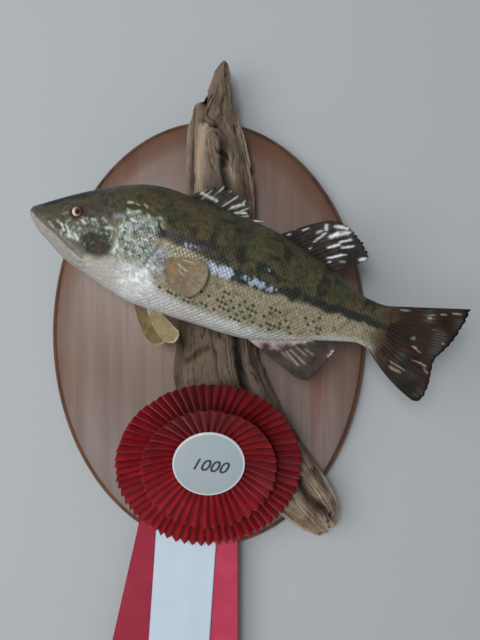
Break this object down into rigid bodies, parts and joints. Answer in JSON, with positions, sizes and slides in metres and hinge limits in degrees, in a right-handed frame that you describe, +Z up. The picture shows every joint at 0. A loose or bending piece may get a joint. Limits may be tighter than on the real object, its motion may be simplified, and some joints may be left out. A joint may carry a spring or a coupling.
{
  "type": "mounted largemouth bass",
  "caption": "Largemouth bass mounted on driftwood and an oval wall plaque, with a pleated ribbon rosette and its hanging tails.",
  "frame": {"origin": "centre of the plaque's flat back, where it meets the wall", "axes": "+Z up, +Y into the wall, so the fish stands out towards -Y; the fish heads towards -X"},
  "size_m": [0.3712, 0.1165, 0.6705],
  "materials": {
    "board": "stained and thinly varnished, satin",
    "hanger_steel": "bare",
    "driftwood": "weathered and grooved, matt",
    "skin": "dried fish skin, painted and varnished to a gloss",
    "eye_glass": "painted from behind, polished",
    "dark_fin": "dried fin, painted and varnished",
    "pale_fin": "dried fin, painted and varnished",
    "red_ribbon": "satin ribbon",
    "white_ribbon": "satin ribbon",
    "button": "covered disc, smooth",
    "card": "plain"
  },
  "bodies": {
    "root": {"plaque": "board", "plaque_hanger": "hanger_steel", "driftwood": "driftwood", "head": "skin", "lower_jaw": "skin", "upper_jaw_plate_left": "skin", "upper_jaw_plate_right": "skin", "gill_cover_left": "skin", "gill_cover_right": "skin", "trunk": "skin", "tail_stock": "skin", "eye_left": "eye_glass", "eye_right": "eye_glass", "dorsal_fin_spiny": "dark_fin", "dorsal_fin_soft": "dark_fin", "tail_fin": "dark_fin", "anal_fin": "pale_fin", "pectoral_fin_left": "pale_fin", "pectoral_fin_right": "pale_fin", "pelvic_fin_left": "pale_fin", "pelvic_fin_right": "pale_fin", "rosette_outer_ring": "red_ribbon", "rosette_inner_ring": "red_ribbon", "rosette_button": "button", "rosette_backing": "card", "streamer_left": "red_ribbon", "streamer_right": "red_ribbon", "streamer_centre": "white_ribbon"}
  },
  "joints": []
}
